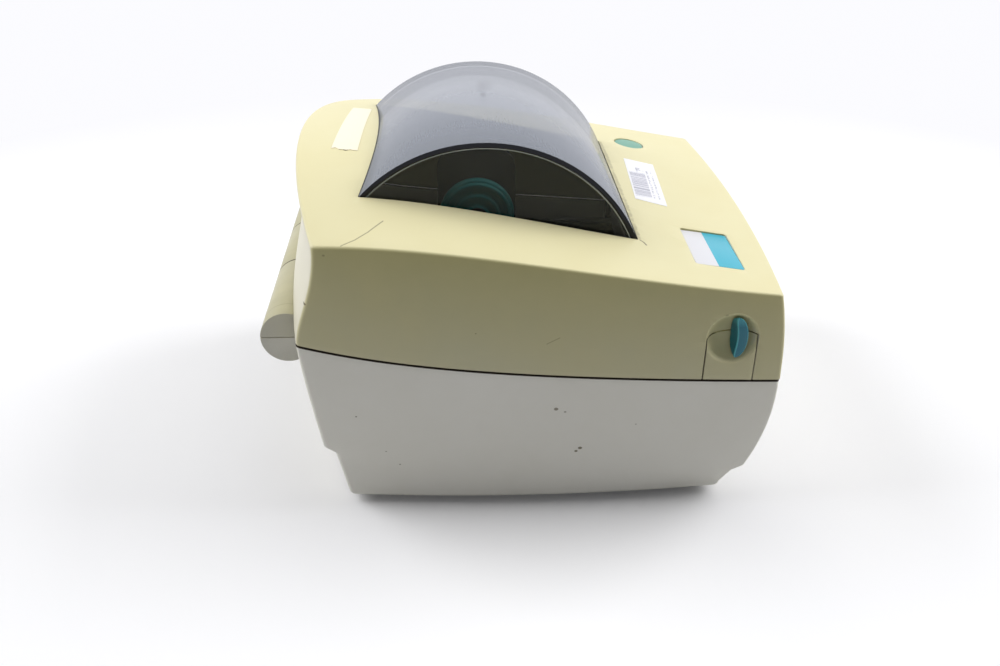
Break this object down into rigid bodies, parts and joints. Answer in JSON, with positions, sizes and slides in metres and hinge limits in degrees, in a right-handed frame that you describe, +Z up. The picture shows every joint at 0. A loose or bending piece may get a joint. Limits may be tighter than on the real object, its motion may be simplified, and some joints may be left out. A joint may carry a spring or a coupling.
{
  "type": "thermal label printer",
  "caption": "Desktop thermal label printer: hinged lid with a smoked half-round window over a roll well, sprung print head, geared platen drive and side latches.",
  "frame": {"origin": "centre of the footprint of the overall box, on the surface that the feet stand on", "axes": "+Z up, -Y towards the front where labels come out, +X to the user's right"},
  "size_m": [0.2056, 0.2148, 0.1519],
  "materials": {
    "lid_plastic": "fine satin texture, yellowed",
    "base_plastic": "fine satin texture",
    "black_plastic": "satin",
    "smoke_window": "polished, smoked",
    "teal_plastic": "semi gloss",
    "button_plastic": "semi gloss",
    "gear_plastic": "satin",
    "rubber": "matt",
    "steel": "ground",
    "brass": "turned",
    "aluminium": "extruded",
    "ceramic": "glazed",
    "board_green": "solder mask",
    "badge_plastic": "smooth"
  },
  "bodies": {
    "base": {"base_case": "base_plastic", "base_chassis": "black_plastic", "side_frame_left": "black_plastic", "side_frame_right": "black_plastic", "front_lip": "black_plastic", "rear_panel": "black_plastic", "rubber_feet": "rubber", "chassis_screws": "steel", "hinge_pin": "steel", "hinge_cap_left": "lid_plastic", "hinge_cap_right": "lid_plastic", "main_board": "board_green", "board_components": "black_plastic", "port_board": "board_green", "power_inlet": "black_plastic", "serial_port": "steel", "parallel_port": "steel", "switch_housing": "black_plastic", "gear_plate": "steel", "stepper_motor": "steel", "idler_axle": "steel", "platen_bush_left": "brass", "platen_bush_right": "brass", "tear_bar": "steel", "gap_sensor": "black_plastic"},
    "lid": {"lid_cover": "lid_plastic", "window": "smoke_window", "lid_frame": "black_plastic", "head_axle": "steel", "head_springs": "steel", "badge_plate": "badge_plastic", "latch_panel_left": "lid_plastic", "latch_panel_right": "lid_plastic", "latch_spring_left": "steel", "latch_spring_right": "steel", "button_board": "board_green"},
    "print_head": {"head_carrier": "steel", "head_sink": "aluminium", "thermal_element": "ceramic"},
    "latch_left": {"latch_slide_left": "teal_plastic"},
    "latch_right": {"latch_slide_right": "teal_plastic"},
    "button": {"feed_button": "button_plastic"},
    "hanger_left_body": {"hanger_left": "black_plastic"},
    "hanger_right_body": {"hanger_right": "black_plastic"},
    "hub_left_body": {"hub_left": "teal_plastic"},
    "hub_right_body": {"hub_right": "teal_plastic"},
    "pinion": {"rack_pinion": "gear_plastic"},
    "platen": {"platen_rubber": "rubber", "platen_shaft": "steel", "platen_gear": "gear_plastic"},
    "idler": {"idler_gear": "gear_plastic"},
    "motor_rotor": {"motor_shaft": "steel", "motor_gear": "brass"},
    "rocker": {"power_rocker": "black_plastic"}
  },
  "joints": [
    {"name": "lid_hinge", "type": "hinge", "parent": "base", "child": "lid", "pos_m": [0, 0.0964, 0.0749], "axis": [-1, 0, 0], "range_deg": [0, 95]},
    {"name": "head_pivot", "type": "hinge", "parent": "lid", "child": "print_head", "pos_m": [0, -0.058, 0.076], "axis": [-1, 0, 0], "range_deg": [0, 2.5], "stiffness_Nm_per_rad": 3, "springref_deg": -5.73, "deforming": ["head_springs"]},
    {"name": "latch_left_pull", "type": "slide", "parent": "lid", "child": "latch_left", "axis": [0, -1, 0], "range_m": [0, 0.0026], "stiffness_N_per_m": 300},
    {"name": "latch_right_pull", "type": "slide", "parent": "lid", "child": "latch_right", "axis": [0, -1, 0], "range_m": [0, 0.0026], "stiffness_N_per_m": 300},
    {"name": "feed_button_press", "type": "slide", "parent": "lid", "child": "button", "axis": [0, 0.1695, -0.9855], "range_m": [0, 0.0012], "stiffness_N_per_m": 400},
    {"name": "hanger_left_slide", "type": "slide", "parent": "base", "child": "hanger_left_body", "axis": [1, 0, 0], "range_m": [0, 0.04]},
    {"name": "hanger_right_slide", "type": "slide", "parent": "base", "child": "hanger_right_body", "axis": [-1, 0, 0], "range_m": [0, 0.04]},
    {"name": "hub_left_spin", "type": "hinge", "parent": "hanger_left_body", "child": "hub_left_body", "pos_m": [-0.05, 0.0154, 0.0761], "axis": [1, 0, 0], "continuous": true},
    {"name": "hub_right_spin", "type": "hinge", "parent": "hanger_right_body", "child": "hub_right_body", "pos_m": [0.05, 0.0154, 0.0761], "axis": [1, 0, 0], "continuous": true},
    {"name": "pinion_spin", "type": "hinge", "parent": "base", "child": "pinion", "pos_m": [0, 0.0154, 0.0095], "axis": [0, 0, 1], "range_deg": [0, 230]},
    {"name": "platen_spin", "type": "hinge", "parent": "base", "child": "platen", "pos_m": [0, -0.086, 0.056], "axis": [1, 0, 0], "continuous": true},
    {"name": "idler_spin", "type": "hinge", "parent": "base", "child": "idler", "pos_m": [0.0745, -0.06173, 0.03837], "axis": [1, 0, 0], "continuous": true},
    {"name": "motor_spin", "type": "hinge", "parent": "base", "child": "motor_rotor", "pos_m": [0.08, -0.03483, 0.04072], "axis": [1, 0, 0], "continuous": true},
    {"name": "power_rock", "type": "hinge", "parent": "base", "child": "rocker", "pos_m": [-0.053, 0.088, 0.0485], "axis": [0, 0, -1], "range_deg": [0, 16]}
  ],
  "couplings": [
    {"joint": "hanger_right_slide", "follows": "hanger_left_slide", "ratio": 1},
    {"joint": "pinion_spin", "follows": "hanger_left_slide", "rad_per_m": 100},
    {"joint": "idler_spin", "follows": "platen_spin", "ratio": -0.5},
    {"joint": "motor_spin", "follows": "platen_spin", "ratio": 1.4286}
  ]
}
